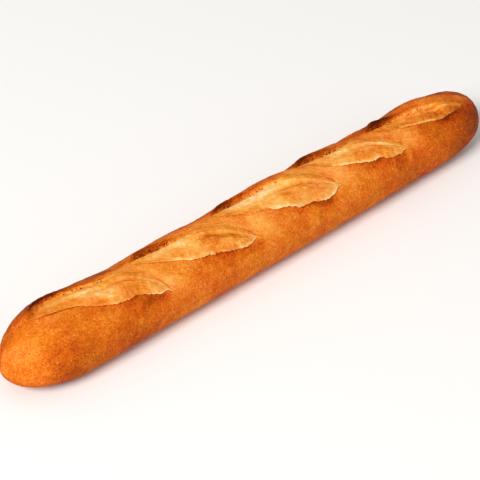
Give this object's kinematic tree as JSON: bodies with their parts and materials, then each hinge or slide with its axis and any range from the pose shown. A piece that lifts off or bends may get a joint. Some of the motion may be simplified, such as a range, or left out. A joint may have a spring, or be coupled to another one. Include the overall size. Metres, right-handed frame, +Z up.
{
  "type": "baguette",
  "caption": "Long slender wheat loaf with rounded ends, a flat base and slanting slashes along its top that open into raised crust ears; food to be shown, served or sliced.",
  "frame": {"origin": "middle of the flat base, under the middle of the loaf's box", "axes": "+X along the loaf towards its slimmer end, +Y towards the side where the slashes start, +Z up"},
  "size_m": [0.55, 0.071, 0.062],
  "materials": {
    "crust": null
  },
  "bodies": {
    "root": {"loaf": "crust"}
  },
  "joints": []
}
